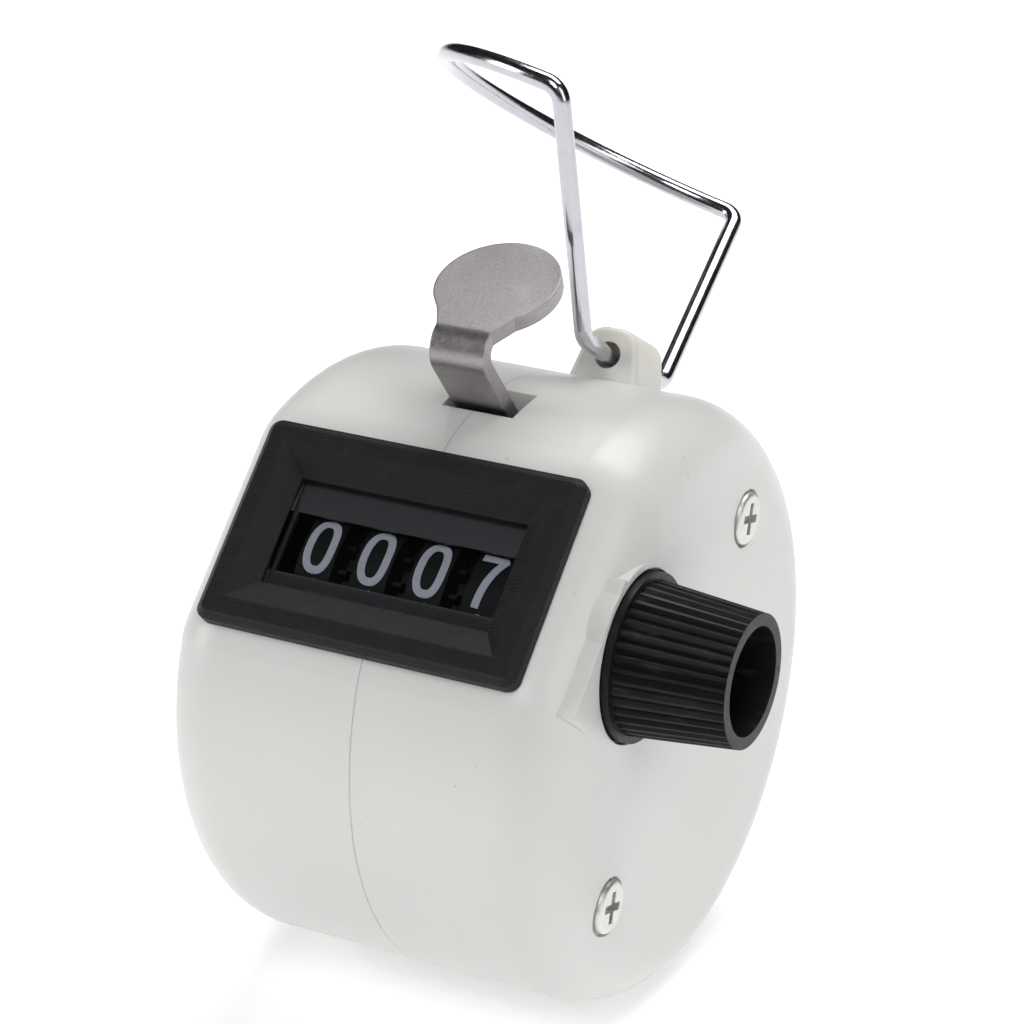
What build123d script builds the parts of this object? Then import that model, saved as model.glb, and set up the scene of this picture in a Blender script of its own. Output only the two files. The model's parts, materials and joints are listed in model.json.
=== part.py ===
from build123d import *
import math
import os

# Hand tally counter. Millimetres.
# Every piece is drawn in an upright frame: X along the drum axis towards the reset knob,
# -Y out of the window, +Z towards the thumb lever and the ring lug, origin at the drum's centre.
# At the end the whole counter leans back by WINDOW_TILT about its axis, so that the window looks
# forward and up, and the origin moves to the centre of the drum's flat left end face.

# Drum
DRUM_R = 22.0
DRUM_W = 31.7
WALL = 1.8
FLAT = 20.36             # distance from the drum axis to the flat that carries the window
FLAT_CORNER_R = 6.0      # rounding where the flat meets the drum
END_R = 5.0              # rounding round both end faces
SEAM_X = 0.4             # where the two shells meet
SEAM_GROOVE = 0.02
LIP = 1.2                # length of the tongue that centres the shells
WINDOW_TILT = 46.0
HALF_W = DRUM_W / 2

# Counting train
SHAFT_Y = -12.3
SHAFT_Z = -0.95
SHAFT_R = 1.2
WHEEL_R = 7.1
WHEEL_RIM_W = 2.8
WHEEL_PITCH = 4.34
WHEEL_MID_X = 0.15       # middle of the row of four wheels
HUB_R = 2.2
RUN = 0.05               # radial running clearance on shafts
MODULE = 0.57
GEAR_TEETH = 20
PINION_TEETH = 8
GEAR_W = 0.62
ADDENDUM = 0.4
DEDENDUM = 0.55
PINION_W = 1.34
PINION_SHAFT_R = 0.75
PINION_DIR = -20.0       # direction from the main shaft to the pinion shaft, degrees from +Y
GEAR_PITCH_R = MODULE * GEAR_TEETH / 2
PINION_PITCH_R = MODULE * PINION_TEETH / 2
PINION_Y = SHAFT_Y + (GEAR_PITCH_R + PINION_PITCH_R) * math.cos(math.radians(PINION_DIR))
PINION_Z = SHAFT_Z + (GEAR_PITCH_R + PINION_PITCH_R) * math.sin(math.radians(PINION_DIR))
UNITS_SHOWN = 7          # the count at rest is 0007
DIGIT_STEP = 36.0

# Lever and its drive
LEVER_X = 0.7
LEVER_T = 1.1
BLADE_W = 4.2
PAD_R = 4.5
PIVOT_Y = -10.8
PIVOT_Z = 10.15
PIVOT_R = 0.9
LEVER_RATIO = 4.5        # wheel degrees for one lever degree
SLOT_W = 5.6
SLOT_FROM = 32.7         # ends of the slot, degrees up from the window's middle
SLOT_TO = 42.4
RATCHET_TEETH = 10
RATCHET_DEPTH = 0.8
RATCHET_W = 0.9
RATCHET_X = 8.16
ARM_X = 9.3
ARM_T = 0.8
PAWL_GAP = 0.12

# Frame plates
PLATE_T = 1.0
LEFT_PLATE_X = -9.6
RIGHT_PLATE_X = 10.5
WEB_Y = -1.8
WEB_T = 0.8

# Window
BEZEL_X = -0.285
BEZEL_Z = -0.34
BEZEL_W = 24.8
BEZEL_H = 15.45
BEZEL_OUT = 1.4
FUNNEL_W = 21.0
FUNNEL_H = 12.0
FUNNEL_D = 1.2
OPENING_W = 17.7
OPENING_H = 8.0
SPIGOT_W = 19.4
SPIGOT_H = 9.8
SPIGOT_END = 19.7        # distance of the spigot's rear face from the drum axis
MASK_T = 0.3
READING_W = 17.3
READING_H = 4.55
READING_Z = -0.775

# Reset knob
KNOB_BOSS_R = 6.6
KNOB_BLOCK_Y = -18.66     # front of the square block beside the knob
KNOB_BLOCK_LOW = -8.3
KNOB_BLOCK_HIGH = 2.0
KNOB_HOLE_R = 6.13
KNOB_FLANGE_R = 5.95
KNOB_BASE_R = 5.45
KNOB_TIP_R = 4.7
KNOB_BORE_R = 3.8
KNOB_OUT = 8.4
KNOB_RIBS = 40
RECESS_D = 0.75
HUB_HOLE_R = 3.05

# Screws
SCREW_SPOTS = ((-2.9, 14.1), (-2.9, -16.0))
SCREW_HEAD_R = 1.93
SCREW_R = 1.1
POST_R = 2.3
FRAME_SPOTS = ((-4.5, 5.5), (-13.5, -9.5))
FRAME_SCREW_R = 0.8

# Finger ring and its lug
LUG_X = 3.84
LUG_ANGLE = 74.2         # degrees up from the window's middle
LUG_HOLE_R = 1.0
LUG_HOLE_RADIUS = 23.7   # distance of the hole from the drum axis
LUG_TOP_RADIUS = 25.8
LUG_DEPTH = 5.2
WIRE_R = 0.65
RING_RADIUS = 23.5       # distance of the ring's pivot line from the drum axis
RING_SLIDE = 0.55        # the wire sits this far back in the lug
RING_FOOT_RISE = 0.4
RING_SWING = -5.6        # lean of the ring towards the left end
RING_FOOT = 7.65         # half distance between the feet of the legs
RING_HALF = 17.7         # half width of the finger loop
RING_RISE = 15.95
RING_LOOP_LEAN = 18.2
RING_LOOP_DEPTH = 16.5
RING_LOOP_START = 1.4    # straight wire before the loop's curve


def at_x(x, y=0.0, z=0.0):
    """A sketch plane whose two directions are Y and Z, facing +X."""
    return Plane(origin=(x, y, z), x_dir=(0, 1, 0), z_dir=(1, 0, 0))


def rod(radius, x_from, x_to, y, z):
    """A round bar along X."""
    return extrude(at_x(x_from, y, z) * Circle(radius), x_to - x_from)


def shaft_rod(radius, x_from, x_to):
    return rod(radius, x_from, x_to, SHAFT_Y, SHAFT_Z)


def polar(radius, degrees, y=0.0, z=0.0):
    angle = math.radians(degrees)
    return (y + radius * math.cos(angle), z + radius * math.sin(angle))


def box(x_from, x_to, y_from, y_to, z_from, z_to):
    block = Box(x_to - x_from, y_to - y_from, z_to - z_from)
    return Pos((x_from + x_to) / 2, (y_from + y_to) / 2, (z_from + z_to) / 2) * block


def bar(a, b, width):
    """A flat strip with round ends between two points of the Y-Z plane."""
    middle = Pos((a[0] + b[0]) / 2, (a[1] + b[1]) / 2)
    lean = math.degrees(math.atan2(b[1] - a[1], b[0] - a[0]))
    length = math.dist(a, b)
    strip = middle * Rot(0, 0, lean) * Rectangle(length, width)
    return strip + Pos(*a) * Circle(width / 2) + Pos(*b) * Circle(width / 2)


# ---- drum shells ----

def drum_profile(inset):
    """The drum's outline seen along its axis, moved inwards by inset."""
    radius = DRUM_R - inset
    flat = FLAT - inset
    reach = radius + flat + 1
    face = Circle(radius) & Pos(reach / 2 - flat, 0) * Rectangle(reach, 2 * radius + 2)
    corners = [v for v in face.vertices() if v.X < 0]
    return fillet(corners, FLAT_CORNER_R - inset)


def drum_block(inset):
    length = DRUM_W - 2 * inset
    block = extrude(at_x(inset - HALF_W) * drum_profile(inset), length)
    ends = block.faces().sort_by(Axis.X)
    return fillet(ends[0].edges() + ends[-1].edges(), END_R - inset)


def drum_ring(outer_inset, inner_inset, x_from, x_to):
    ring = drum_profile(outer_inset) - drum_profile(inner_inset)
    return extrude(at_x(x_from) * ring, x_to - x_from)


def window_cut():
    gap = 0.1
    half_w = SPIGOT_W / 2 + gap
    half_h = SPIGOT_H / 2 + gap
    return box(BEZEL_X - half_w, BEZEL_X + half_w, -FLAT - 2, -16.2,
               BEZEL_Z - half_h, BEZEL_Z + half_h)


def lever_slot():
    middle = (SLOT_FROM + SLOT_TO) / 2
    width = DRUM_R * math.radians(SLOT_TO - SLOT_FROM)
    depth = 4.0
    centre = (-(DRUM_R - 1) * math.cos(math.radians(middle)), (DRUM_R - 1) * math.sin(math.radians(middle)))
    return Pos(LEVER_X, *centre) * Rot(-middle, 0, 0) * Box(SLOT_W, depth, width)


def shell_cuts():
    groove_from = SEAM_X - SEAM_GROOVE
    groove = drum_ring(-1, SEAM_GROOVE, groove_from, groove_from + 2 * SEAM_GROOVE)
    return window_cut() + lever_slot() + groove


def left_shell():
    shell = drum_block(0) - drum_block(WALL)
    shell = shell & box(-HALF_W, SEAM_X, -30, 30, -30, 30)
    shell -= drum_ring(WALL / 2, WALL + 1, SEAM_X - LIP, SEAM_X)
    inner_x = WALL - HALF_W
    post_end = HALF_W - WALL - 1.0
    for y, z in SCREW_SPOTS:
        shell += rod(POST_R, inner_x - 0.5, post_end, y, z)
    for y, z in FRAME_SPOTS:
        shell += rod(2.0, inner_x - 0.5, LEFT_PLATE_X, y, z)
    for y, z in SCREW_SPOTS:
        shell -= rod(SCREW_R + 0.02, 2.0, post_end, y, z)
    for y, z in FRAME_SPOTS:
        shell -= rod(FRAME_SCREW_R + 0.02, LEFT_PLATE_X - 3.6, LEFT_PLATE_X, y, z)
    return shell - shell_cuts()


def ring_axes():
    """The lug's radial and tangential directions."""
    angle = math.radians(LUG_ANGLE)
    radial = Vector(0, -math.cos(angle), math.sin(angle))
    tangent = Vector(0, math.sin(angle), math.cos(angle))
    return radial, tangent


def lug():
    """A tapered eye for the finger ring, its hole running round the drum."""
    radial, tangent = ring_axes()
    plane = Plane(origin=Vector(LUG_X, 0, 0) - tangent * (LUG_DEPTH / 2), x_dir=(1, 0, 0), z_dir=tangent)
    side = -1 if plane.y_dir.dot(radial) < 0 else 1
    foot = side * (DRUM_R - 1.2)
    top = side * LUG_TOP_RADIUS
    outline = Polyline((-3.0, foot), (-1.9, top), (1.9, top), (3.0, foot), close=True)
    face = make_face(outline)
    face = fillet([v for v in face.vertices() if abs(v.Y) > DRUM_R], 1.7)
    eye = extrude(plane * face, LUG_DEPTH)
    rims = [e for e in eye.edges() if abs(e.center().dot(radial)) > DRUM_R + 0.4]
    rims = [e for e in rims if abs(abs((e.center()).dot(tangent)) - LUG_DEPTH / 2) < 0.01]
    eye = fillet(rims, 0.45)
    hole_start = Vector(LUG_X, 0, 0) + radial * LUG_HOLE_RADIUS - tangent * 5
    return eye, extrude(Plane(origin=hole_start, z_dir=tangent) * Circle(LUG_HOLE_R), 10)


def right_shell():
    hollow = drum_block(WALL)
    shell = drum_block(0) - hollow
    shell = shell & box(SEAM_X, HALF_W, -30, 30, -30, 30)
    shell += drum_ring(WALL / 2 + 0.05, WALL, SEAM_X - LIP + 0.1, SEAM_X)
    cup = shaft_rod(KNOB_HOLE_R + 1.2, HALF_W - RECESS_D - 1.3, HALF_W - WALL) & drum_block(WALL / 2)
    shell += cup
    boss = shaft_rod(KNOB_BOSS_R, HALF_W - END_R, HALF_W)
    boss += box(HALF_W - END_R, HALF_W, KNOB_BLOCK_Y, SHAFT_Y, KNOB_BLOCK_LOW, KNOB_BLOCK_HIGH)
    shell += boss - hollow
    eye, eye_hole = lug()
    shell += eye - drum_block(WALL / 2)
    shell -= eye_hole
    shell -= shaft_rod(KNOB_HOLE_R, HALF_W - RECESS_D, HALF_W + 1)
    shell -= shaft_rod(HUB_HOLE_R, HALF_W - 5, HALF_W)
    for y, z in SCREW_SPOTS:
        shell += rod(POST_R, HALF_W - WALL - 0.95, HALF_W - WALL + 0.1, y, z)
        shell -= rod(SCREW_HEAD_R + 0.22, HALF_W - 0.45, HALF_W + 1, y, z)
        shell -= rod(SCREW_R + 0.1, HALF_W - WALL - 2, HALF_W, y, z)
    return shell - shell_cuts()


# ---- window ----

def window_rect(width, height):
    return Pos(BEZEL_Z, 0) * Rectangle(height, width)


def facing_window(distance):
    """A sketch plane parallel to the window, facing out; its first direction is Z."""
    return Plane(origin=(BEZEL_X, -distance, 0), x_dir=(0, 0, 1), z_dir=(0, -1, 0))


def bezel():
    outline = RectangleRounded(BEZEL_H, BEZEL_W, 0.9)
    frame = extrude(facing_window(FLAT) * (Pos(BEZEL_Z, 0) * outline), BEZEL_OUT)
    front = frame.faces().sort_by(Axis.Y)[0]
    frame = chamfer(front.edges(), 0.55)
    frame += extrude(facing_window(SPIGOT_END) * window_rect(SPIGOT_W, SPIGOT_H), FLAT - SPIGOT_END)
    front_y = FLAT + BEZEL_OUT
    funnel = loft([
        facing_window(front_y) * window_rect(FUNNEL_W, FUNNEL_H),
        facing_window(front_y - FUNNEL_D) * window_rect(OPENING_W, OPENING_H),
    ])
    frame -= funnel
    frame -= extrude(facing_window(SPIGOT_END) * window_rect(OPENING_W, OPENING_H), 3)
    return frame - extrude(facing_window(SPIGOT_END) * window_rect(OPENING_W + 0.8, OPENING_H + 0.8), 0.4)


def window_lens():
    """Clear cover with a low arch, its flange held behind the bezel's opening."""
    back = SPIGOT_END
    flange = extrude(facing_window(back) * window_rect(OPENING_W + 0.7, OPENING_H + 0.7), 0.35)
    half_h = OPENING_H / 2 - 0.05
    low = -back - 0.45
    high = -back - 0.85
    side = make_face([
        Line((-back, BEZEL_Z - half_h), (low, BEZEL_Z - half_h)),
        ThreePointArc((low, BEZEL_Z - half_h), (high, BEZEL_Z), (low, BEZEL_Z + half_h)),
        Line((low, BEZEL_Z + half_h), (-back, BEZEL_Z + half_h)),
        Line((-back, BEZEL_Z + half_h), (-back, BEZEL_Z - half_h)),
    ])
    width = OPENING_W - 0.1
    return flange + extrude(at_x(BEZEL_X - width / 2) * side, width)


def window_mask():
    """Thin dark plate behind the lens with the slot that shows one row of digits."""
    plate = window_rect(SPIGOT_W, SPIGOT_H) - Pos(READING_Z, 0) * Rectangle(READING_H, READING_W)
    return extrude(facing_window(SPIGOT_END - MASK_T) * plate, MASK_T)


# ---- counting train ----

def tooth(root_r, tip_r, root_w, tip_w, degrees):
    """One straight-sided gear tooth, sunk a little into its disc."""
    inner = root_r - 0.2
    points = ((inner, -root_w / 2), (root_r, -root_w / 2), (tip_r, -tip_w / 2),
              (tip_r, tip_w / 2), (root_r, root_w / 2), (inner, root_w / 2))
    return Rot(0, 0, degrees) * make_face(Polyline(*points, close=True))


def gear_face(pitch_r, angles, root_w, tip_w):
    face = Circle(pitch_r - DEDENDUM)
    for degrees in angles:
        face += tooth(pitch_r - DEDENDUM, pitch_r + ADDENDUM, root_w, tip_w, degrees)
    return face


def wheel_gear(angles):
    return gear_face(GEAR_PITCH_R, angles, 0.72, 0.3)


def wheel_centre(place):
    """X of the wheel at a decimal place: 0 units, 1 tens, 2 hundreds, 3 thousands."""
    return WHEEL_MID_X + (1.5 - place) * WHEEL_PITCH


def number_wheel(place):
    centre = wheel_centre(place)
    half = WHEEL_RIM_W / 2
    drum = extrude(at_x(centre - half, SHAFT_Y, SHAFT_Z) * Circle(WHEEL_R), WHEEL_RIM_W)
    pocket = Circle(WHEEL_R - 0.8) - Circle(HUB_R)
    hub_to = centre + WHEEL_PITCH / 2 - 0.05
    if place == 0:
        hub_to = RATCHET_X + RATCHET_W
    wheel = drum + shaft_rod(HUB_R, centre - WHEEL_PITCH / 2 + 0.05, hub_to)
    step = 360 / GEAR_TEETH
    if place == 0:
        wheel -= extrude(at_x(centre + half - 0.9, SHAFT_Y, SHAFT_Z) * pocket, 0.9)
    else:
        mesh_angles = [PINION_DIR + step * (i + 0.5) for i in range(GEAR_TEETH)]
        wheel += extrude(at_x(centre + half, SHAFT_Y, SHAFT_Z) * wheel_gear(mesh_angles), GEAR_W)
    if place < 3:
        shown = UNITS_SHOWN if place == 0 else 0
        carry = PINION_DIR - DIGIT_STEP * (shown + 0.5)
        carry_angles = (carry - step / 2, carry + step / 2)
        side = at_x(centre - half - GEAR_W, SHAFT_Y, SHAFT_Z)
        wheel += extrude(side * wheel_gear(carry_angles), GEAR_W)
    return wheel - shaft_rod(SHAFT_R + RUN, centre - 10, centre + 10)


def carry_pinion(place):
    """The pinion that carries into the wheel at a decimal place from the one below it."""
    middle = (wheel_centre(place) + wheel_centre(place - 1)) / 2
    step = 360 / PINION_TEETH
    full = [PINION_DIR + 180 + step * i for i in range(PINION_TEETH)]
    start = middle - PINION_W / 2
    wide = gear_face(PINION_PITCH_R, full, 0.6, 0.26)
    narrow = gear_face(PINION_PITCH_R, full[1::2], 0.6, 0.26)
    pinion = extrude(at_x(start, PINION_Y, PINION_Z) * wide, PINION_W / 2)
    pinion += extrude(at_x(middle, PINION_Y, PINION_Z) * narrow, PINION_W / 2)
    return pinion - rod(PINION_SHAFT_R + RUN, start - 1, start + 3, PINION_Y, PINION_Z)


# ---- ratchet drive ----

SHAFT_TO_PIVOT = math.hypot(PIVOT_Y - SHAFT_Y, PIVOT_Z - SHAFT_Z)
RATCHET_R = SHAFT_TO_PIVOT / (LEVER_RATIO - 1)
DRIVE_DIR = math.degrees(math.atan2(SHAFT_Z - PIVOT_Z, SHAFT_Y - PIVOT_Y))
FACE_DIR = DRIVE_DIR + DIGIT_STEP / 2
RATCHET_ROOT = RATCHET_R - RATCHET_DEPTH / 2
RATCHET_TIP = RATCHET_R + RATCHET_DEPTH / 2


def ratchet_wheel():
    points = []
    for i in range(RATCHET_TEETH):
        face = FACE_DIR - DIGIT_STEP * i
        points.append(polar(RATCHET_ROOT, face))
        points.append(polar(RATCHET_TIP, face))
    disc = make_face(Polyline(*points, close=True)) - Circle(HUB_R)
    return extrude(at_x(RATCHET_X, SHAFT_Y, SHAFT_Z) * disc, RATCHET_W)


def pawl_points():
    """The pawl's tip and the rivet that holds it, in Y and Z."""
    gap = math.degrees(PAWL_GAP / RATCHET_R)
    tip = polar(RATCHET_R - 0.15, FACE_DIR + gap, SHAFT_Y, SHAFT_Z)
    rivet = polar(3.3, FACE_DIR + 27, *tip)
    return tip, rivet


def drive_pawl():
    tip, rivet = pawl_points()
    front = polar(3.0, FACE_DIR + 7, *tip)
    back = polar(3.0, FACE_DIR + 47, *tip)
    plate = make_face(Polyline(tip, front, back, close=True)) + Pos(*rivet) * Circle(1.35)
    plate -= Pos(*rivet) * Circle(0.5)
    return extrude(at_x(RATCHET_X) * plate, RATCHET_W)


def pawl_rivet():
    _, rivet = pawl_points()
    pin = rod(0.5, RATCHET_X, ARM_X + ARM_T, *rivet)
    return pin + rod(0.8, ARM_X + ARM_T, ARM_X + ARM_T + 0.25, *rivet)


def pawl_arm():
    """The arm that swings with the lever beside the ratchet and carries the pawl."""
    _, rivet = pawl_points()
    pivot = (PIVOT_Y, PIVOT_Z)
    elbow = (-7.6, 0.5)
    plate = bar(pivot, elbow, 2.2) + bar(elbow, rivet, 2.2) + Pos(*pivot) * Circle(1.8)
    plate -= Pos(*pivot) * Circle(PIVOT_R)
    plate -= Pos(*rivet) * Circle(0.5)
    arm = extrude(at_x(ARM_X) * plate, ARM_T)
    return arm - rod(0.2, ARM_X - 1, ARM_X + 2, PIVOT_Y, PIVOT_Z - 1.4)


def thumb_lever():
    """Stamped lever: a round pad, a bend, a blade through the slot and an eye on its shaft."""
    pad_lean = 66.4
    bend = (-24.87, 13.37)
    slot_bend = (-16.3, 12.6)
    pad_end = polar(12.0, pad_lean, *bend)
    line = FilletPolyline(pad_end, bend, slot_bend, (PIVOT_Y - 0.9, PIVOT_Z + 0.9), radius=1.45)
    path = Wire(line.edges())
    sheet = make_face(offset(path, LEVER_T / 2, side=Side.BOTH, kind=Kind.ARC).edges())
    strip = extrude(at_x(LEVER_X - PAD_R) * sheet, 2 * PAD_R)
    out = Vector(0, *polar(1.0, pad_lean + 90))
    along = Vector(0, *polar(1.0, pad_lean))
    centre = Vector(LEVER_X, *bend) + along * 6.95
    pad = extrude(Plane(origin=centre - out * 1.2, z_dir=out) * Circle(PAD_R), 2.4)
    blade = box(LEVER_X - BLADE_W / 2, LEVER_X + BLADE_W / 2, -40, 0, 0, 40)
    cut_top = Plane(origin=centre, x_dir=(1, 0, 0), z_dir=along)
    blade -= extrude(cut_top * Rectangle(60, 60), 40)
    flare = Plane(origin=centre - out * 1.2, x_dir=(1, 0, 0), z_dir=out)
    side = 1 if flare.y_dir.dot(along) > 0 else -1
    neck = make_face(Polyline((-BLADE_W / 2, side * -5.2), (-3.4, side * -2.5), (3.4, side * -2.5),
                              (BLADE_W / 2, side * -5.2), close=True))
    blade += extrude(flare * neck, 2.4)
    lever = strip & (pad + blade)
    left = LEVER_X - BLADE_W / 2
    lever += rod(1.7, left, left + BLADE_W, PIVOT_Y, PIVOT_Z)
    return lever - rod(PIVOT_R, left - 1, left + BLADE_W + 1, PIVOT_Y, PIVOT_Z)


def clip(inner_r, x, y, z):
    """A flat retaining clip, open on one side."""
    ring = Circle(inner_r + 1.0) - Circle(inner_r) - Pos(inner_r + 0.5, 0) * Rectangle(1.6, inner_r * 1.1)
    return extrude(at_x(x, y, z) * ring, 0.45)


def return_spring():
    """Torsion spring round the lever shaft: one leg on the frame's web, one end in the arm."""
    coil_r = 1.4
    wire_r = 0.18
    start_x = 3.4
    coil_len = ARM_X - 0.35 - start_x
    axis = Plane(origin=(start_x, PIVOT_Y, PIVOT_Z), x_dir=(0, 0, -1), z_dir=(1, 0, 0))
    helix = axis * Helix(pitch=coil_len / 7, height=coil_len, radius=coil_r)
    begin = helix @ 0
    section = Plane(origin=begin, z_dir=helix % 0) * Circle(wire_r)
    coil = sweep(section, path=helix, is_frenet=True)
    leg = extrude(Plane(origin=begin, z_dir=(0, 1, 0)) * Circle(wire_r), WEB_Y - wire_r - begin.Y)
    end = helix @ 1
    stub = extrude(Plane(origin=end, z_dir=(1, 0, 0)) * Circle(wire_r), ARM_X + ARM_T - end.X)
    joints = Pos(begin) * Sphere(wire_r) + Pos(end) * Sphere(wire_r)
    return coil + leg + stub + joints


def detent_spring():
    """Leaf that drops behind a ratchet tooth and stops the units wheel from turning back."""
    tip = polar(RATCHET_R, FACE_DIR + 72 + 3, SHAFT_Y, SHAFT_Z)
    foot = (WEB_Y - 0.15, 6.2)
    knee = (WEB_Y - 0.15, 4.4)
    leaf = bar(foot, knee, 0.25) + bar(knee, tip, 0.25)
    return extrude(at_x(RATCHET_X + 0.05) * leaf, RATCHET_W - 0.1)


# ---- frame ----

def inner_frame():
    """Bent steel frame: two side plates that hold the shafts, joined by a rear web."""
    web_low = -6.5
    web_high = 10.6
    outline = make_hull([
        *(Pos(SHAFT_Y, SHAFT_Z) * Circle(3.6)).edges(),
        *(Pos(PIVOT_Y, PIVOT_Z) * Circle(2.2)).edges(),
        *(Pos(PINION_Y, PINION_Z) * Circle(2.2)).edges(),
        *(Pos(WEB_Y - 0.2, web_low + 1.0) * Circle(1.0)).edges(),
        *(Pos(WEB_Y - 0.2, web_high - 1.0) * Circle(1.0)).edges(),
    ])
    inside = outline & Pos(WEB_Y - 20 + WEB_T, 0) * Rectangle(40, 60)
    foot = bar((SHAFT_Y, SHAFT_Z - 2), FRAME_SPOTS[1], 4.0)
    holes = [
        Pos(SHAFT_Y, SHAFT_Z) * Circle(SHAFT_R + RUN),
        Pos(PIVOT_Y, PIVOT_Z) * Circle(PIVOT_R + RUN),
        Pos(PINION_Y, PINION_Z) * Circle(PINION_SHAFT_R),
    ]
    left = inside + foot
    for spot in FRAME_SPOTS:
        left -= Pos(*spot) * Circle(FRAME_SCREW_R + 0.1)
    right = inside
    for hole in holes:
        left -= hole
        right -= hole
    frame = extrude(at_x(LEFT_PLATE_X) * left, PLATE_T)
    frame += extrude(at_x(RIGHT_PLATE_X) * right, PLATE_T)
    return frame + box(LEFT_PLATE_X, RIGHT_PLATE_X + PLATE_T, WEB_Y, WEB_Y + WEB_T, web_low, web_high)


def screw(head_r, head_h, shank_r, length, head_x, y, z, driver):
    """A low cross-head screw pointing along -X, its head's seat at head_x."""
    head = rod(head_r, head_x, head_x + head_h, y, z)
    crown = head.faces().sort_by(Axis.X)[-1]
    head = fillet(crown.edges(), head_h * 0.45)
    cross = Rectangle(driver, driver / 4) + Rectangle(driver / 4, driver)
    cut = extrude(at_x(head_x + head_h - 0.55, y, z) * (Rot(0, 0, 30) * cross), 1)
    return head - cut + rod(shank_r, head_x - length, head_x, y, z)


def case_screws():
    seat = HALF_W - 0.45
    heads = [screw(SCREW_HEAD_R, 0.75, SCREW_R, 11.5, seat, y, z, 2.3) for y, z in SCREW_SPOTS]
    return Compound(heads)


def frame_screws():
    seat = LEFT_PLATE_X + PLATE_T
    heads = [screw(1.4, 0.7, FRAME_SCREW_R, 4.2, seat, y, z, 1.6) for y, z in FRAME_SPOTS]
    return Compound(heads)


# ---- reset knob ----

def reset_knob():
    """Hollow ribbed knob with a flange that sits in the drum's recess and a hub for the shaft."""
    flange_x = HALF_W - RECESS_D + 0.05
    flange_t = 1.25
    rib_x = flange_x + flange_t
    tip_x = HALF_W + KNOB_OUT
    core = loft([
        at_x(rib_x, SHAFT_Y, SHAFT_Z) * Circle(KNOB_BASE_R - 0.02),
        at_x(tip_x, SHAFT_Y, SHAFT_Z) * Circle(KNOB_TIP_R - 0.02),
    ])
    slope = math.degrees(math.atan2(KNOB_BASE_R - KNOB_TIP_R, tip_x - rib_x))
    groove_len = tip_x - rib_x
    base = Pos(rib_x, SHAFT_Y, SHAFT_Z)
    for i in range(KNOB_RIBS):
        turn = Rot(360 / KNOB_RIBS * i, 0, 0)
        groove = Pos(0, 0, KNOB_BASE_R + 0.02) * Rot(0, slope, 0) * Rot(45, 0, 0) * Box(
            groove_len * 2, 0.5, 0.5)
        groove &= Pos(groove_len, 0, KNOB_BASE_R) * Box(groove_len * 2, 2, 4)
        core -= base * turn * groove
    knob = core + shaft_rod(KNOB_FLANGE_R, flange_x, rib_x) + shaft_rod(HUB_HOLE_R - 0.08, 12.3, flange_x)
    web_x = HALF_W + 2.0
    bore = shaft_rod(KNOB_BORE_R, web_x, tip_x + 1)
    return knob - bore - shaft_rod(SHAFT_R, 12.0, web_x - 0.7)


# ---- finger ring ----

def finger_ring():
    """Wire ring: two legs that spread from the lug and a loop that leans over to the left."""
    radial, tangent = ring_axes()
    swing = math.radians(RING_SWING)
    across = Vector(1, 0, 0)
    up = radial * math.cos(swing) + across * math.sin(swing)
    right = across * math.cos(swing) - radial * math.sin(swing)
    lean = math.radians(RING_LOOP_LEAN)
    loop_dir = up * math.sin(lean) - right * math.cos(lean)
    pivot = Vector(LUG_X, 0, 0) + radial * RING_RADIUS + tangent * RING_SLIDE
    pieces = []
    starts = []
    for side in (-1, 1):
        end = pivot + tangent * (side * 0.25)
        foot = pivot + tangent * (side * RING_FOOT) + up * RING_FOOT_RISE
        shoulder = pivot + tangent * (side * RING_HALF) + up * RING_RISE
        start = shoulder + loop_dir * RING_LOOP_START
        leg = FilletPolyline(end, foot, shoulder, start, radius=1.5)
        pieces.append(leg)
        starts.append(start)
    middle = pivot + up * RING_RISE + loop_dir * RING_LOOP_START
    loop_plane = Plane(origin=middle, x_dir=tangent, z_dir=tangent.cross(loop_dir))
    loop = loop_plane * EllipticalCenterArc((0, 0), RING_HALF, RING_LOOP_DEPTH - RING_LOOP_START,
                                            start_angle=0, arc_size=180)
    path = Wire([*pieces[0].edges(), *loop.edges(), *pieces[1].edges()])
    begin = pivot - tangent * 0.25
    section = Plane(origin=begin, z_dir=tangent) * Circle(WIRE_R)
    return sweep(section, path=path)


def make_parts():
    parts = {
        "left_shell": left_shell(),
        "right_shell": right_shell(),
        "bezel": bezel(),
        "window_lens": window_lens(),
        "window_mask": window_mask(),
        "inner_frame": inner_frame(),
        "frame_screws": frame_screws(),
        "case_screws": case_screws(),
        "main_shaft": shaft_rod(SHAFT_R, -10.6, HALF_W + 1.3),
        "main_shaft_clip": clip(SHAFT_R, LEFT_PLATE_X - 0.55, SHAFT_Y, SHAFT_Z),
        "reset_knob": reset_knob(),
        "ratchet_wheel": ratchet_wheel(),
        "pinion_shaft": rod(PINION_SHAFT_R, LEFT_PLATE_X, RIGHT_PLATE_X + PLATE_T, PINION_Y, PINION_Z),
        "thumb_lever": thumb_lever(),
        "lever_shaft": rod(PIVOT_R, -10.4, 12.4, PIVOT_Y, PIVOT_Z),
        "lever_shaft_clips": Compound([
            clip(PIVOT_R, LEFT_PLATE_X - 0.55, PIVOT_Y, PIVOT_Z),
            clip(PIVOT_R, RIGHT_PLATE_X + PLATE_T + 0.1, PIVOT_Y, PIVOT_Z),
        ]),
        "pawl_arm": pawl_arm(),
        "drive_pawl": drive_pawl(),
        "pawl_rivet": pawl_rivet(),
        "return_spring": return_spring(),
        "detent_spring": detent_spring(),
        "finger_ring": finger_ring(),
    }
    for place, name in enumerate(("units", "tens", "hundreds", "thousands")):
        parts[name + "_wheel"] = number_wheel(place)
        if place > 0:
            parts[name + "_pinion"] = carry_pinion(place)
    return parts


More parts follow.
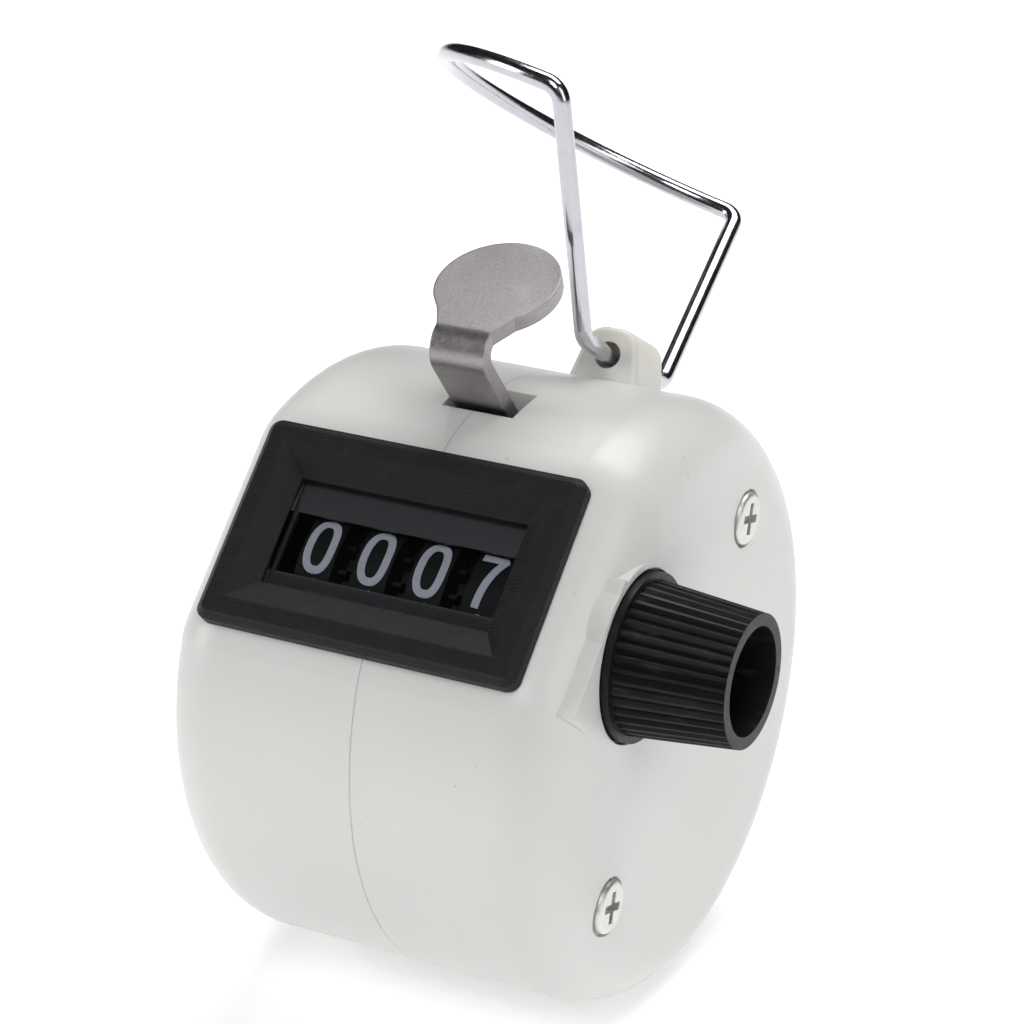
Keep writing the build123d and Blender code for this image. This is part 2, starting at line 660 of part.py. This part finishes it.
os.makedirs("parts", exist_ok=True)
stand = Pos(HALF_W, 0, 0) * Rot(-WINDOW_TILT, 0, 0)
for node, shape in make_parts().items():
    export_step(stand * shape, os.path.join("parts", node + ".step"))
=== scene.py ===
import json
import math

import bmesh
import bpy
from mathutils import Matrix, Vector


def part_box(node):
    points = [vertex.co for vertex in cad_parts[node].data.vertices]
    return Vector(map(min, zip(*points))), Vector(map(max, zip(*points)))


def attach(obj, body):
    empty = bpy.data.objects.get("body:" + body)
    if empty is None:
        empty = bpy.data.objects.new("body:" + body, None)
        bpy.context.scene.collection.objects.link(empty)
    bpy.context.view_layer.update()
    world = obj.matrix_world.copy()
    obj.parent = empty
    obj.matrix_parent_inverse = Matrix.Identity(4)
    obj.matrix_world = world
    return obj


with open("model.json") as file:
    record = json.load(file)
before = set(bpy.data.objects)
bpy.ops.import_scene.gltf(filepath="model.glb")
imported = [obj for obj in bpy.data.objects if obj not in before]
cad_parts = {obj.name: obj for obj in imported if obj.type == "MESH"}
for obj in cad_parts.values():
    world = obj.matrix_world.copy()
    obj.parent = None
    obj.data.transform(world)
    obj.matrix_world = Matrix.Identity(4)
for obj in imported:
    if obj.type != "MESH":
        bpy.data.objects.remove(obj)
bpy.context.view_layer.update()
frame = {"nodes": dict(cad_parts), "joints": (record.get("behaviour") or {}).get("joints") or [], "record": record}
joints = {joint["name"]: joint for joint in frame["joints"]}

MM = 0.001
WINDOW_TILT = math.radians(46.0)   # how far the window faces up from straight ahead

# Digits painted on the wheels
WHEEL_R = 7.1 * MM
READING_ANGLE = WINDOW_TILT + math.radians(3.8)
DIGIT_STEP = math.radians(36.0)
DIGIT_HALF_W = 0.87 * MM
DIGIT_HALF_H = 1.80 * MM
STROKE = 0.57 * MM
PAINT = 0.03 * MM
SHOWN = {"units": 7, "tens": 0, "hundreds": 0, "thousands": 0}

LUG_FROM = 22.0   # millimetres up from the drum's axis where the yellowed lug begins

# Camera
CAMERA_AZIMUTH = math.radians(27.98)
CAMERA_HEIGHT = math.radians(22.75)
CAMERA_DISTANCE = 235.4 * MM
CAMERA_LENS = 115.8
LOOK_AT = Vector((17.0, 0.0, 12.5)) * MM

# Surroundings
AMBIENT = 0.42             # even light from all round
PANEL_DARK = 0.07          # brightness of the panels that mirrors see
PANEL_BRIGHT = 0.55
FLOOR_SIZE = 6.0
FLOOR_GLOW = 0.34
SENSOR_WIDTH = 36
NEAR_LIMIT = 0.01


# ---- materials ----

class Shader:
    """A material under construction: one Principled shader and the nodes that feed it."""

    def __init__(self, name, colour, roughness, **values):
        self.material = bpy.data.materials.new(name)
        self.material.use_nodes = True
        self.tree = self.material.node_tree
        self.bsdf = self.tree.nodes["Principled BSDF"]
        self.bsdf.inputs["Base Color"].default_value = (*colour, 1)
        self.bsdf.inputs["Roughness"].default_value = roughness
        for socket, value in values.items():
            self.bsdf.inputs[socket.replace("_", " ")].default_value = value
        coordinates = self.node("TexCoord")
        self.place = self.node("Mapping")
        self.place.inputs["Scale"].default_value = (1 / MM, 1 / MM, 1 / MM)
        self.place.inputs["Rotation"].default_value = (WINDOW_TILT, 0, 0)
        self.link(coordinates.outputs["Object"], self.place.inputs["Vector"])
        self.height = None

    def node(self, kind, **settings):
        made = self.tree.nodes.new("ShaderNode" + kind)
        for key, value in settings.items():
            setattr(made, key, value)
        return made

    def link(self, source, target):
        self.tree.links.new(source, target)

    def stretched(self, scale):
        """Coordinates in millimetres of the upright counter, scaled along each axis."""
        mapping = self.node("Mapping")
        mapping.inputs["Scale"].default_value = scale
        self.link(self.place.outputs[0], mapping.inputs["Vector"])
        return mapping.outputs[0]

    def noise(self, per_mm, detail=3.0, stretch=(1, 1, 1)):
        noise = self.node("TexNoise")
        noise.inputs["Scale"].default_value = per_mm
        noise.inputs["Detail"].default_value = detail
        self.link(self.stretched(stretch), noise.inputs["Vector"])
        return noise.outputs["Fac"]

    def lines(self, per_mm, axis, wobble=2.0):
        wave = self.node("TexWave", bands_direction=axis)
        wave.inputs["Scale"].default_value = per_mm
        wave.inputs["Distortion"].default_value = wobble
        wave.inputs["Detail"].default_value = 2.0
        self.link(self.place.outputs[0], wave.inputs["Vector"])
        return wave.outputs["Fac"]

    def ramp(self, value, low, high, out_low=0.0, out_high=1.0):
        spread = self.node("MapRange")
        limits = {"From Min": low, "From Max": high, "To Min": out_low, "To Max": out_high}
        for socket, number in limits.items():
            spread.inputs[socket].default_value = number
        self.link(value, spread.inputs["Value"])
        return spread.outputs[0]

    def tint(self, amount, colour):
        """Mixes another colour over the base by a mask."""
        mix = self.node("Mix", data_type="RGBA")
        base = self.bsdf.inputs["Base Color"]
        if base.is_linked:
            self.link(base.links[0].from_socket, mix.inputs["A"])
        else:
            mix.inputs["A"].default_value = base.default_value
        mix.inputs["B"].default_value = (*colour, 1)
        self.link(amount, mix.inputs["Factor"])
        self.link(mix.outputs["Result"], base)

    def roughness(self, mask, low, high):
        self.link(self.ramp(mask, 0.0, 1.0, low, high), self.bsdf.inputs["Roughness"])

    def bump(self, height, depth_mm):
        """Adds relief, given as a height of 0 to 1 and its depth."""
        bump = self.node("Bump")
        bump.inputs["Distance"].default_value = depth_mm * MM
        self.link(height, bump.inputs["Height"])
        if self.height is not None:
            self.link(self.height, bump.inputs["Normal"])
        self.height = bump.outputs["Normal"]
        self.link(self.height, self.bsdf.inputs["Normal"])

    def round_edges(self, radius_mm):
        """Softens the light on sharp edges."""
        bevel = self.node("Bevel", samples=6)
        bevel.inputs["Radius"].default_value = radius_mm * MM
        self.height = bevel.outputs["Normal"]
        self.link(self.height, self.bsdf.inputs["Normal"])


def white_plastic():
    """Glossy white shell, with a little dirt and an older, yellower lug."""
    m = Shader("white_gloss_plastic", (0.66, 0.66, 0.645), 0.3,
               Subsurface_Weight=0.12, Specular_IOR_Level=0.4)
    m.bsdf.inputs["Subsurface Radius"].default_value = (1.2 * MM, 1.1 * MM, 1.0 * MM)
    m.bsdf.inputs["Subsurface Scale"].default_value = 1.0
    m.round_edges(0.12)
    m.tint(m.ramp(m.noise(0.09, 2), 0.35, 0.7, 0.0, 0.35), (0.62, 0.62, 0.59))
    m.tint(m.ramp(m.noise(1.7, 1), 0.79, 0.82, 0.0, 0.5), (0.35, 0.33, 0.30))
    upright = m.node("SeparateXYZ")
    m.link(m.place.outputs[0], upright.inputs[0])
    m.tint(m.ramp(upright.outputs["Z"], LUG_FROM, LUG_FROM + 0.6, 0.0, 0.7), (0.68, 0.65, 0.57))
    m.roughness(m.noise(0.6, 4), 0.26, 0.40)
    m.bump(m.noise(0.35, 2), 0.02)
    m.bump(m.noise(14, 2), 0.0005)
    return m.material


def black_moulding(name, line_axis, per_mm):
    m = Shader(name, (0.008, 0.008, 0.010), 0.45, Specular_IOR_Level=0.22)
    m.round_edges(0.14)
    m.tint(m.ramp(m.noise(0.8, 5), 0.5, 0.75, 0.0, 0.5), (0.015, 0.015, 0.017))
    m.roughness(m.noise(2.2, 5), 0.38, 0.62)
    m.bump(m.lines(per_mm, line_axis), 0.012)
    m.bump(m.noise(9, 3), 0.006)
    return m.material


def knob_plastic():
    m = Shader("black_knob_plastic", (0.006, 0.006, 0.007), 0.4, Specular_IOR_Level=0.25)
    m.round_edges(0.05)
    scuffs = m.noise(1.1, 6, stretch=(0.35, 1.6, 1.6))
    m.tint(m.ramp(scuffs, 0.58, 0.74, 0.0, 0.7), (0.035, 0.035, 0.037))
    m.roughness(scuffs, 0.3, 0.58)
    m.bump(m.noise(7, 4), 0.008)
    return m.material


def wheel_plastic():
    m = Shader("black_wheel_plastic", (0.010, 0.010, 0.011), 0.5, Specular_IOR_Level=0.3)
    m.tint(m.ramp(m.noise(1.5, 6, stretch=(0.5, 2, 0.4)), 0.5, 0.8, 0.0, 0.6), (0.014, 0.014, 0.015))
    m.roughness(m.noise(3, 4), 0.4, 0.65)
    m.bump(m.lines(2.5, "X", 1.0), 0.004)
    return m.material


def mask_plastic():
    # Painted light: the mask is black plastic, but it is given a lighter grey than the black mouldings. The grey
    # stands in for the light it catches beside the shaded wheels.
    m = Shader("mask_plastic_painted_light", (0.075, 0.075, 0.083), 0.5, Specular_IOR_Level=0.45)
    m.tint(m.ramp(m.noise(2.5, 5, stretch=(1.6, 0.3, 0.3)), 0.45, 0.75, 0.0, 0.6), (0.085, 0.085, 0.09))
    m.roughness(m.noise(3, 3), 0.42, 0.6)
    m.bump(m.noise(8, 3, stretch=(1.8, 0.3, 0.3)), 0.006)
    return m.material


def natural_acetal():
    m = Shader("natural_acetal", (0.66, 0.62, 0.52), 0.4, Subsurface_Weight=0.1)
    m.bsdf.inputs["Subsurface Radius"].default_value = (0.6 * MM, 0.5 * MM, 0.4 * MM)
    m.bsdf.inputs["Subsurface Scale"].default_value = 1.0
    m.tint(m.ramp(m.noise(1.2, 3), 0.4, 0.7, 0.0, 0.5), (0.58, 0.52, 0.42))
    m.roughness(m.noise(3, 3), 0.35, 0.5)
    m.bump(m.noise(6, 2), 0.004)
    return m.material


def digit_paint():
    m = Shader("digit_paint", (0.74, 0.75, 0.84), 0.5)
    m.tint(m.ramp(m.noise(2.2, 4), 0.45, 0.7, 0.0, 0.6), (0.64, 0.65, 0.74))
    m.roughness(m.noise(5, 3), 0.4, 0.65)
    m.bump(m.noise(9, 3), 0.01)
    return m.material


def grained_steel():
    m = Shader("grained_steel", (0.35, 0.33, 0.335), 0.34, Metallic=1.0)
    m.round_edges(0.16)
    m.tint(m.ramp(m.noise(5, 4), 0.42, 0.62, 0.0, 0.45), (0.27, 0.25, 0.255))
    m.tint(m.ramp(m.noise(0.35, 3), 0.5, 0.75, 0.0, 0.35), (0.48, 0.45, 0.455))
    m.roughness(m.noise(3.5, 5), 0.28, 0.5)
    m.bump(m.noise(7, 3), 0.010)
    m.bump(m.noise(1.6, 4, stretch=(3, 0.4, 0.4)), 0.004)
    return m.material


def polished_nickel(name, colour, roughness, grain):
    m = Shader(name, colour, roughness, Metallic=1.0)
    m.tint(m.ramp(m.noise(1.2, 4), 0.5, 0.8, 0.0, 0.4), tuple(c * 0.72 for c in colour))
    m.roughness(m.noise(1.5, 5), roughness * 0.7, roughness * 1.7)
    m.bump(m.noise(0.8, 3), grain)
    m.bump(m.noise(6, 2), grain * 0.2)
    return m.material


def screw_nickel():
    m = Shader("nickel_screw", (0.70, 0.70, 0.67), 0.42, Metallic=0.85)
    m.round_edges(0.08)
    m.tint(m.ramp(m.noise(2.5, 5), 0.45, 0.7, 0.0, 0.5), (0.56, 0.56, 0.53))
    m.roughness(m.noise(4, 4), 0.34, 0.55)
    m.bump(m.noise(3, 4), 0.01)
    return m.material


def plain_steel(name, colour, roughness, direction):
    m = Shader(name, colour, roughness, Metallic=1.0)
    m.round_edges(0.06)
    m.tint(m.ramp(m.noise(1.0, 4, stretch=direction), 0.45, 0.75, 0.0, 0.5), tuple(c * 0.7 for c in colour))
    m.roughness(m.noise(4, 4, stretch=direction), roughness * 0.75, roughness * 1.4)
    m.bump(m.noise(9, 3, stretch=direction), 0.004)
    return m.material


def clear_cover():
    """Clear plastic: see-through, with the mirror share of a real surface."""
    m = Shader("clear_acrylic", (1, 1, 1), 0.05)
    tree = m.tree
    tree.nodes.remove(m.bsdf)
    through = m.node("BsdfTransparent")
    through.inputs["Color"].default_value = (0.93, 0.94, 0.95, 1)
    shine = m.node("BsdfGlossy")
    shine.inputs["Roughness"].default_value = 0.06
    bump = m.node("Bump")
    bump.inputs["Distance"].default_value = 0.004 * MM
    m.link(m.noise(0.5, 3), bump.inputs["Height"])
    m.link(bump.outputs["Normal"], shine.inputs["Normal"])
    m.link(m.ramp(m.noise(2, 5), 0.4, 0.8, 0.03, 0.14), shine.inputs["Roughness"])
    fresnel = m.node("Fresnel")
    fresnel.inputs["IOR"].default_value = 1.3
    mix = m.node("MixShader")
    m.link(fresnel.outputs[0], mix.inputs[0])
    m.link(through.outputs[0], mix.inputs[1])
    m.link(shine.outputs[0], mix.inputs[2])
    m.link(mix.outputs[0], tree.nodes["Material Output"].inputs["Surface"])
    return m.material


def floor_material():
    m = Shader("pale_floor", (0.93, 0.93, 0.93), 0.7, Specular_IOR_Level=0.2)
    m.bsdf.inputs["Emission Color"].default_value = (1, 1, 1, 1)
    m.bsdf.inputs["Emission Strength"].default_value = FLOOR_GLOW
    m.tint(m.ramp(m.noise(0.01, 2), 0.3, 0.7, 0.0, 1.0), (0.92, 0.925, 0.93))
    return m.material


finishes = {
    "white_plastic": white_plastic(),
    "black_plastic": black_moulding("black_bezel_plastic", "Z", 1.1),
    "knob_plastic": knob_plastic(),
    "clear_plastic": clear_cover(),
    "wheel_plastic": wheel_plastic(),
    "pinion_plastic": natural_acetal(),
    "zinc_steel": plain_steel("zinc_plated_steel", (0.52, 0.54, 0.57), 0.36, (0.3, 1.5, 1.5)),
    "nickel_steel": screw_nickel(),
    "bright_steel": plain_steel("bright_steel", (0.55, 0.55, 0.56), 0.25, (0.3, 2, 2)),
    "spring_steel": plain_steel("spring_steel", (0.34, 0.34, 0.36), 0.28, (1, 1, 1)),
    "lever_steel": grained_steel(),
    "ring_chrome": polished_nickel("polished_ring_nickel", (0.52, 0.52, 0.555), 0.15, 0.006),
}
# The window mask gets the grey with painted light instead of the black of its moulding.
mask_with_painted_light = mask_plastic()
slot_of = {part["node"]: part["material_slot"] for part in frame["record"]["subparts"]}
for name, node in frame["nodes"].items():
    finish = mask_with_painted_light if name == "window_mask" else finishes[slot_of[name]]
    node.data.materials.clear()
    node.data.materials.append(finish)


# ---- digits on the wheels ----

def arc(cx, cy, rx, ry, start, end, steps=20):
    """Points on an ellipse's arc, in fractions of the digit's half width and half height."""
    angles = [math.radians(start + (end - start) * i / steps) for i in range(steps + 1)]
    return [(cx + rx * math.cos(a), cy + ry * math.sin(a)) for a in angles]


def bowed(start, middle, end, steps=12):
    """A line with one bow, through three control points."""
    points = []
    for i in range(steps + 1):
        t = i / steps
        weights = ((1 - t) ** 2, 2 * t * (1 - t), t * t)
        points.append(tuple(sum(w * p[k] for w, p in zip(weights, (start, middle, end))) for k in (0, 1)))
    return points


def oval(steps=48):
    points = []
    for i in range(steps + 1):
        a = 2 * math.pi * i / steps
        x, y = math.cos(a), math.sin(a)
        points.append((math.copysign(abs(x) ** 0.76, x), math.copysign(abs(y) ** 0.8, y)))
    return points


SIX = [arc(0, -0.42, 1, 0.58, 0, 360, 36), arc(0.95, -0.42, 1.95, 1.45, 180, 101)]
STROKES = {
    0: [oval()],
    1: [[(-0.6, 0.5), (0.1, 0.88), (0.1, -1)]],
    2: [arc(0, 0.48, 0.95, 0.52, 165, -38) + [(-1, -1), (1, -1)]],
    3: [arc(0, 0.52, 0.86, 0.48, 150, -82), arc(0, -0.46, 1, 0.54, 82, -150)],
    4: [[(0.45, -1), (0.45, 1), (-1, -0.4), (1, -0.4)]],
    5: [[(0.8, 1), (-0.7, 1), (-0.85, 0.08)] + arc(0, -0.4, 1, 0.6, 128, -150)],
    6: SIX,
    7: [[(-1.25, 1), (0.85, 1)] + bowed((0.85, 1), (-0.3, 0.2), (-0.42, -1.1))],
    8: [arc(0, 0.52, 0.84, 0.48, 0, 360, 32), arc(0, -0.46, 1, 0.54, 0, 360, 36)],
    9: [[(-x, -y) for x, y in stroke] for stroke in SIX],
}


def ribbon(points, width):
    """Left and right edges of a painted stroke of constant width along its middle line."""
    closed = math.dist(points[0], points[-1]) < 1e-9
    rows = []
    last = len(points) - 1
    for i, (x, y) in enumerate(points):
        before = points[last - 1 if closed and i == 0 else max(i - 1, 0)]
        after = points[1 if closed and i == last else min(i + 1, last)]
        into = Vector((x - before[0], y - before[1]))
        out = Vector((after[0] - x, after[1] - y))
        if into.length < 1e-9:
            into = out
        if out.length < 1e-9:
            out = into
        along = (into.normalized() + out.normalized()).normalized()
        side = Vector((-along.y, along.x))
        reach = width / 2 / max(0.5, abs(along.dot(into.normalized())))
        rows.append((Vector((x, y)) + side * reach, Vector((x, y)) - side * reach))
    return rows


def on_wheel(flat, centre_x, axis_point, middle, lift):
    """Wraps a point of the flat digit round the wheel."""
    angle = middle + flat.y / WHEEL_R
    radius = WHEEL_R + lift
    return (
        centre_x + flat.x,
        axis_point.y - radius * math.cos(angle),
        axis_point.z + radius * math.sin(angle),
    )


def add_stroke(mesh, points, place):
    """One raised stroke of paint: top and sides."""
    rows = []
    for left, right in ribbon(points, STROKE):
        rows.append([mesh.verts.new(place(p, lift)) for p, lift in
                     ((left, -PAINT), (left, PAINT), (right, PAINT), (right, -PAINT))])
    for near, far in zip(rows, rows[1:]):
        for k in range(3):
            mesh.faces.new((near[k], near[k + 1], far[k + 1], far[k]))
    for ends in (rows[0], rows[-1]):
        mesh.faces.new(ends)


def wheel_digits(place_name, centre_x):
    axis_point = Vector(joints["units_turn"]["pos_m"])
    mesh = bmesh.new()
    for digit, strokes in STROKES.items():
        middle = READING_ANGLE - DIGIT_STEP * (digit - SHOWN[place_name])
        for stroke in strokes:
            points = [(x * DIGIT_HALF_W, y * DIGIT_HALF_H) for x, y in stroke]
            fine = [points[0]]
            for a, b in zip(points, points[1:]):
                count = max(1, round(math.dist(a, b) / (0.3 * MM)))
                fine += [(a[0] + (b[0] - a[0]) * i / count, a[1] + (b[1] - a[1]) * i / count)
                         for i in range(1, count + 1)]
            add_stroke(mesh, fine, lambda p, lift: on_wheel(p, centre_x, axis_point, middle, lift))
    bmesh.ops.recalc_face_normals(mesh, faces=mesh.faces)
    data = bpy.data.meshes.new(place_name + "_digits")
    mesh.to_mesh(data)
    mesh.free()
    piece = bpy.data.objects.new(place_name + "_digits", data)
    bpy.context.scene.collection.objects.link(piece)
    data.materials.append(paint)
    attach(piece, place_name)


def middle_x(node):
    low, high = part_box(node)
    return (low.x + high.x) / 2


paint = digit_paint()
wheel_x = {name: middle_x(name + "_wheel") for name in ("tens", "hundreds", "thousands")}
wheel_x["units"] = 2 * wheel_x["tens"] - wheel_x["hundreds"]
for name, x in wheel_x.items():
    wheel_digits(name, x)


# ---- floor, lights and camera ----

def area_light(name, place, size, power, colour=(1, 1, 1)):
    light = bpy.data.lights.new(name, "AREA")
    light.shape = "RECTANGLE"
    light.size, light.size_y = size
    light.energy = power
    light.color = colour
    lamp = bpy.data.objects.new(name, light)
    lamp.location = place
    aim = LOOK_AT - Vector(place)
    lamp.rotation_euler = aim.to_track_quat("-Z", "Y").to_euler()
    bpy.context.scene.collection.objects.link(lamp)


def add_floor():
    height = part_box("left_shell")[0].z
    bpy.ops.mesh.primitive_plane_add(size=FLOOR_SIZE, location=(0, 0, height))
    floor = bpy.context.object
    floor.name = "floor"
    floor.data.materials.append(floor_material())


def add_world():
    """Even soft light; mirrors see broad bright and dark panels."""
    world = bpy.data.worlds.new("studio")
    world.use_nodes = True
    tree = world.node_tree
    background = tree.nodes["Background"]
    direction = tree.nodes.new("ShaderNodeTexCoord")
    panels = tree.nodes.new("ShaderNodeTexWave")
    panels.bands_direction = "X"
    panels.inputs["Scale"].default_value = 1.7
    panels.inputs["Distortion"].default_value = 1.5
    panels.inputs["Detail"].default_value = 1.0
    edge = tree.nodes.new("ShaderNodeMapRange")
    levels = {"From Min": 0.35, "From Max": 0.65, "To Min": PANEL_DARK, "To Max": PANEL_BRIGHT}
    for socket, number in levels.items():
        edge.inputs[socket].default_value = number
    rays = tree.nodes.new("ShaderNodeLightPath")
    strength = tree.nodes.new("ShaderNodeMix")
    strength.inputs["A"].default_value = AMBIENT
    tree.links.new(direction.outputs["Generated"], panels.inputs["Vector"])
    tree.links.new(panels.outputs["Fac"], edge.inputs["Value"])
    tree.links.new(rays.outputs["Is Glossy Ray"], strength.inputs["Factor"])
    tree.links.new(edge.outputs[0], strength.inputs["B"])
    tree.links.new(strength.outputs["Result"], background.inputs["Strength"])
    bpy.context.scene.world = world


def add_camera():
    back = Vector((
        math.sin(CAMERA_AZIMUTH) * math.cos(CAMERA_HEIGHT),
        -math.cos(CAMERA_AZIMUTH) * math.cos(CAMERA_HEIGHT),
        math.sin(CAMERA_HEIGHT),
    ))
    data = bpy.data.cameras.new("camera")
    data.lens = CAMERA_LENS
    data.sensor_width = SENSOR_WIDTH
    data.clip_start = NEAR_LIMIT
    camera = bpy.data.objects.new("camera", data)
    camera.location = LOOK_AT + back * CAMERA_DISTANCE
    camera.rotation_euler = back.to_track_quat("Z", "Y").to_euler()
    bpy.context.scene.collection.objects.link(camera)
    bpy.context.scene.camera = camera


add_floor()
add_world()
area_light("key_left", (-0.75, -0.40, 0.28), (0.35, 0.5), 3.0)
area_light("fill_right", (0.7, -0.25, 0.35), (0.4, 0.6), 1.6)
area_light("front_top", (0.15, -0.55, 0.65), (0.35, 0.35), 2.2)
area_light("top_back", (0.05, 0.35, 0.7), (0.7, 0.4), 5.2)
add_camera()
bpy.context.scene.view_settings.view_transform = "Standard"
